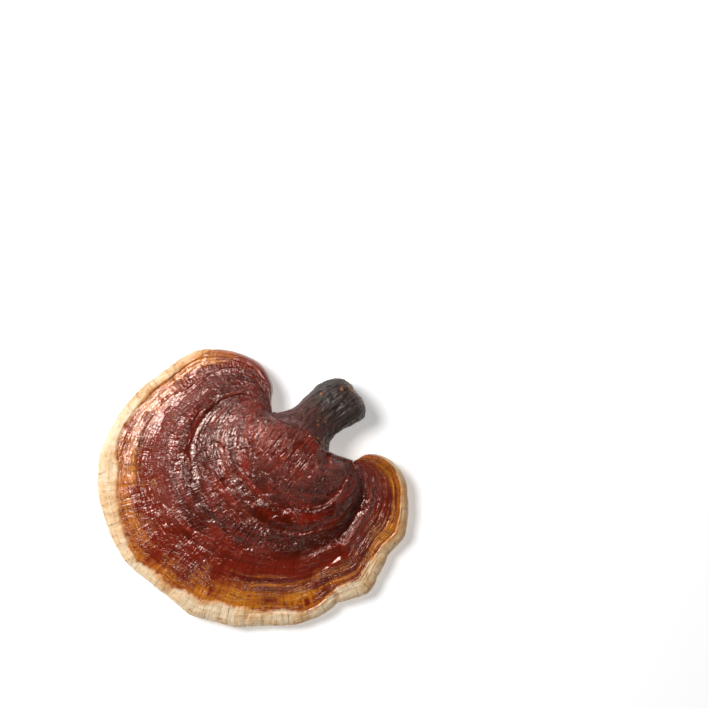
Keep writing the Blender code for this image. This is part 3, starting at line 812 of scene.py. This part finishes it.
def crust_height(graph, size, mark, place):
    """Wrinkles, growth lines and fibres where the crust has them, and a lumpy, pitted margin; all pressed
    inwards, and none at the foot."""
    wrinkles = grown(graph, mark, size["Wrinkle spacing"], 9.0, 2.0, 2.0)
    lines = grown(graph, mark, 40.0, size["Line spacing"], 4.0, 2.0)
    fibres = graph.noise(graph.drawn_out(place, FIBRE_BEARING, *RELIEF_FIBRE), 1.0, 1.0)
    lumps = graph.noise(place, 1 / CRUST_LUMP, 3.0)
    margin = mark["cream"].between(-1.0, 1.5)
    pits = graph.node("ShaderNodeTexVoronoi", None, {"Vector": place, "Scale": 1 / PIT_SPACING})
    pitted = pits.between(0.22, 0.08) * lumps.between(0.5, 0.65) * margin
    free = 1 - mark["underside"] - mark["across"].between(*FREE_FOOT)
    return free * ((wrinkles - RELIEF_TOP) * mark["wrinkled"] * size["Wrinkle height"]
                   + (lines - RELIEF_TOP) * (mark["ringed"] + 0.35 - 0.2 * margin) * size["Line height"]
                   + (fibres - RELIEF_TOP) * mark["fibrous"] * size["Fibre height"]
                   + (lumps - RELIEF_TOP) * (margin * 0.7 + 0.3) * size["Lump height"]
                   - pitted * size["Pit depth"])


crust, look = new_material("lacquered_crust")
place = look.node("ShaderNodeTexCoord", None, None, 3)
mark = {name: look.mark(name) for name in marks}
along, across = mark["along"], mark["across"]

# Streaks run out from the stem, rings run round it, and blotches and mottle have no direction.
streaks = grown(look, mark, 1.6, 18.0, 1.0, 4.0, 0.6)
broad_streaks = grown(look, mark, 7.0, 26.0, 7.0, 3.0, 0.55)
rings = grown(look, mark, 50.0, 1.0, 3.0, 3.0, 0.6)
broad_rings = grown(look, mark, 60.0, 3.6, 9.0, 2.0)
blotches = look.noise(place, 90.0, 4.0, 0.6)
mottle = look.noise(place, 650.0, 4.0, 0.65)

# Fine wrinkles run out from the stem, ring lines run round it, and fibres all run one way on the hump.
wrinkles = look.noise(look.vector(along / 1.2 + blotches * 0.7, across / 7.0, 11.0), 1.0, 1.0)
ring_lines = look.noise(look.vector(along / 11.0, across / 0.9 + blotches * 0.9, 13.0), 1.0, 1.0)
fibres = look.noise(look.drawn_out(place, FIBRE_BEARING, *CRUST_FIBRE), 1.0, 1.0)

# Hairline splits run out (rays) and round (hoops), and small plates part where the crust has cracked.
rays = grown(look, mark, 3.5, 50.0, 23.0, 2.0) - 0.5
hoops = grown(look, mark, 45.0, 2.4, 27.0, 2.0) - 0.5
ray = (rays * rays).between(*SPLIT_LINE)
hoop = (hoops * hoops).between(*SPLIT_LINE)
plates = look.cell_edges(look.vector(along / 2.3 + mottle * 0.5, across / 1.7 + mottle * 0.5, 5.0))
cracked = plates.between(0.11, 0.02) * (blotches * 0.8 + mark["wrinkled"] * 0.4).between(0.30, 0.60)

# The red-brown of the crust, darker and lighter in rings and blotches.
tone = blotches * 0.7 + broad_rings * 0.7 + streaks * 0.4 + rings * 0.6 + mottle * 0.3 - 0.85
body = look.mixed(tone.between(0.42, 0.66), CRUST_DARK, CRUST_LIGHT)
body = look.mixed(0.2, body, CRUST_MID)
body = look.mixed(mark["ochre"].between(-1.0, 0.0) * 0.6, body, CRUST_LIGHT)
# Painted sheen where the lacquer is dull.
body = look.mixed((mark["dull_and_sheen"] * (mottle + 0.5)).between(0.1, 1.0) * 0.8, body, CRUST_PAINTED_SHEEN)
body = look.mixed((mark["red"] * (blotches * 1.4 + streaks * 0.4)).between(0.2, 1.0) * 0.75, body, CRUST_RED)
# Dark patches and furrow lines: partly the crust's own darker tone, partly painted shade.
body = look.mixed((mark["dark_tone_and_shade"] * (rings * 0.8 + 0.6)).between(0.1, 1.3) * 0.8, body, CRUST_DARK)
rusty = mark["rusty"] * (broad_streaks * 1.6 + mottle - 0.55)
body = look.mixed(rusty.between(0.1, 0.8) * 0.75, body, RUST)
body = look.mixed(mark["fibrous"].between(0.2, 0.9) * 0.5, body, CRUST_LIGHT)
body = look.mixed((mark["fibrous"] * (1 - fibres)).between(0.45, 0.80) * 0.5, body, CRUST_DARK)
body = look.mixed(mark["barky"] * (fibres * 1.6).between(0.3, 1.1), body, BARK_PURPLE)

# It ripens unevenly to ochre towards the margin, with golden places there and dark splits all over.
ripeness = mark["ochre"] - 0.12 + (streaks - 0.5) * (mark["streaky"] * 1.2 + 0.3)
unevenness = ((broad_streaks, 1.8), (rings, 1.7), (broad_rings, 2.2), (blotches, 2.4), (mottle, 1.4))
for noise, weight in unevenness:
    ripeness = ripeness + (noise - 0.5) * weight
before = -0.1
for ripe, colour in RIPENING:
    body = look.mixed(ripeness.between(before, ripe), body, colour)
    before = ripe
golden = (mark["golden"] * (broad_rings + blotches * 2.0 + streaks * 1.2 - 1.35)).between(0.35, 0.85)
body = look.mixed(golden * 0.85, body, GOLDEN)
# Painted shade: the ochre is darkened where dark patches lie over it, such as on its lamp-facing slope at the
# left.
body = look.mixed(mark["ochre"].between(0.0, 0.3) * mark["dark_tone_and_shade"].between(0.1, 1.0) * 0.75, body, CRUST_MID)
furrow = ray * streaks.between(0.40, 0.60) + hoop * blotches.between(0.42, 0.60) * (1 - mark["fibrous"])
body = look.mixed((cracked * 0.5 + furrow * 0.5).between(0.0, 1.0) * 0.75, body, CRUST_DARK)

# The cream begins along a wavy, frayed line with a brown brink, which is partly painted shade in the groove
# there. It is tan, white or ochre in places, darker along its creases and splits, with brown specks on the
# rolled edge.
waves = look.noise(look.vector(along / 15.0, 5.0, 41.0)) - 0.5
cream_depth = (mark["cream"] + waves * 9.0 + (mottle - 0.5) * 1.8 + (broad_streaks - 0.5) * 3.5
               + (streaks - 0.5) * 2.5 - mark["crease"] * 1.6)
is_cream = cream_depth.between(-1.2, 0.9)
# The brink is partly painted shade in the groove where the cream meets the crust.
brink = cream_depth.between(-2.0, -0.4) * (1 - is_cream) * (blotches * 1.5).between(0.5, 1.0)
body = look.mixed(brink * 0.45, body, BROWN_STAIN_AND_SHADE)
tan = (ring_lines * 0.5 + blotches * 1.0 + streaks * 0.4).between(0.98, 1.30)
cream = look.mixed(tan, CREAM, CREAM_TAN)
whitened = (ring_lines * 0.3 + mottle * 0.4 + blotches * 0.8).between(0.82, 0.66)
cream = look.mixed(whitened, cream, CREAM_WHITE)
split = ray * streaks.between(0.50, 0.65) + hoop * blotches.between(0.48, 0.62) * 0.5
# The cream is darker along its creases and hairline splits.
darker_in_creases = (mark["crease"] * (streaks + 0.5)).between(0.45, 1.3) * 0.45 + split * 0.22
cream = look.mixed(darker_in_creases, cream, BROWN_STAIN_AND_SHADE)
tanned = (mark["tanned"] * (blotches * 0.6 + broad_streaks * 0.8)).between(0.15, 0.95)
cream = look.mixed(tanned, cream, CREAM_TAN)
tinge = cream_depth.between(3.0, 0.2) * (broad_streaks + blotches).between(0.85, 1.15)
cream = look.mixed(tinge * 0.65, cream, GOLDEN)
rim_specks = (mottle * 1.0 + blotches * 0.4).between(0.80, 0.87) * across.between(91.0, 96.0)
cream = look.mixed(rim_specks * 0.7, cream, BROWN_STAIN_AND_SHADE)
skin = look.mixed(is_cream, body, cream)
skin = look.mixed(mark["crack"].between(0.3, 1.0) * blotches.between(0.35, 0.5), skin, CRUST_DARK)

# The underside is tan, with a pore in every cell of a fine pattern.
pores = look.node("ShaderNodeTexVoronoi", None, {"Vector": place, "Scale": 1900.0})
under = look.mixed(pores.between(0.1, 0.5), PORED_DARK, PORED)
under = look.mixed(blotches.between(0.4, 0.7) * 0.4, under, CREAM_TAN)
skin = look.mixed(mark["underside"], skin, under)

# The finest relief: a patch is wrinkled mostly outwards or mostly round (turned) or is nearly smooth (calm).
# The ochre is smoother than the red, and the cream and the underside are matt.
turned = grown(look, mark, 13.0, 11.0, 31.0, 1.0).between(0.42, 0.58)
calm = grown(look, mark, 17.0, 8.0, 37.0, 2.0).between(0.44, 0.58)
matt = look.node("ShaderNodeMath", {"operation": "MAXIMUM"}, {0: is_cream, 1: mark["underside"]})
ripening = ripeness.between(0.0, 0.6)
wrinkling = wrinkles * (mark["wrinkled"] * 0.90 + 0.45) * (0.25 + turned)
ringing = ring_lines * (mark["ringed"] * 0.30 + mark["wrinkled"] * 0.10 + 0.34) * (1.25 - turned)
lumpy = mottle * 0.16 + waves * 1.5 + (blotches - 0.5) * 1.5 - split * 0.20
height = ((wrinkling + ringing) * (1 - calm * 0.8) * (1 - ripening * 0.6) + fibres * mark["fibrous"] * 1.3
          + mottle * 0.05 - cracked * (1 - matt) * 0.10 + matt * lumpy + mark["underside"] * pores * 0.25)
look.finish({
    "Base Color": skin,
    "Roughness": 0.06 + mottle * 0.14 + ripening * 0.06 + matt * 0.36 + mark["dull_and_sheen"] * 0.04,
    "Specular IOR Level": 1.00,
    "Specular Tint": CRUST_TINT,
    "Normal": look.node("ShaderNodeBump", None, {"Height": height, "Distance": MM, "Strength": 1.0}),
})
relief_marks = ("along", "across", "cream", "underside", "wrinkled", "ringed", "fibrous")
press_relief(cap, relief_tree("crust_relief", CAP_RELIEF, relief_marks, crust_height), CAP_RELIEF, crust)
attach(cap, "root")
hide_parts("cap")

# ==== Table, light and camera ====================
# A white table that glows a little so that shadows stay soft, one large lamp at the upper left under a sky
# that is dark overhead, and a camera that looks straight down.
TABLE_SIZE = 6.0
TABLE_WHITE = (0.85, 0.85, 0.85)
TABLE_GLOW = 0.42
LAMP_SIZE = 0.44
LAMP_POWER = 9.2
LAMP_BEARING = radians(147)
LAMP_FROM_UPRIGHT = radians(34)
LAMP_DISTANCE = 0.9
SKY_OVERHEAD = 0.01
SKY_BESIDE = 0.30                 # and how much brighter it is lower down
SKY_BAND = (0.5, 0.2)             # between these parts of straight up
VIEW_FROM_CENTRE = (21.07, 36.98)
VIEW_WIDTH = 0.30444              # at this height over the table
VIEW_HEIGHT = 0.012
LENS = 200
SENSOR_WIDTH = 36

half = 0.5 * TABLE_SIZE
table_mesh = bpy.data.meshes.new("table")
table_corners = [(-half, -half, 0), (half, -half, 0), (half, half, 0), (-half, half, 0)]
table_mesh.from_pydata(table_corners, [], [(0, 1, 2, 3)])
table = bpy.data.objects.new("table", table_mesh)
bpy.context.scene.collection.objects.link(table)
white, look = new_material("white_table")
look.finish({
    "Base Color": TABLE_WHITE,
    "Roughness": 0.9,
    "Emission Color": (1.0, 1.0, 1.0),
    "Emission Strength": TABLE_GLOW,
})
table_mesh.materials.append(white)
table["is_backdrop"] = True

world = bpy.data.worlds.new("studio")
bpy.context.scene.world = world
world.use_nodes = True
sky = Graph(world.node_tree)
rise = sky.node("ShaderNodeSeparateXYZ", None, {"Vector": sky.node("ShaderNodeTexCoord")}, 2)
brightness = SKY_OVERHEAD + SKY_BESIDE * rise.between(*SKY_BAND)
sky.fill(world.node_tree.nodes["Background"], {"Color": (1.0, 1.0, 1.0), "Strength": brightness})

lamp = bpy.data.lights.new("lamp", "AREA")
lamp.shape = "DISK"
lamp.size = LAMP_SIZE
lamp.energy = LAMP_POWER
lamp_object = bpy.data.objects.new("lamp", lamp)
bpy.context.scene.collection.objects.link(lamp_object)
towards = Vector((cos(LAMP_BEARING) * sin(LAMP_FROM_UPRIGHT),
                  sin(LAMP_BEARING) * sin(LAMP_FROM_UPRIGHT),
                  cos(LAMP_FROM_UPRIGHT)))
lamp_object.location = towards * LAMP_DISTANCE
lamp_object.rotation_euler = towards.to_track_quat("Z", "Y").to_euler()

camera = bpy.data.cameras.new("camera")
camera.lens = LENS
camera.sensor_width = SENSOR_WIDTH
camera.clip_end = 10
camera_object = bpy.data.objects.new("camera", camera)
bpy.context.scene.collection.objects.link(camera_object)
camera_object.location = ((growth_centre[0] + VIEW_FROM_CENTRE[0]) * MM,
                          (growth_centre[1] + VIEW_FROM_CENTRE[1]) * MM,
                          VIEW_HEIGHT + VIEW_WIDTH * LENS / SENSOR_WIDTH)
bpy.context.scene.camera = camera_object
bpy.context.scene.view_settings.view_transform = "Standard"

low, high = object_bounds()
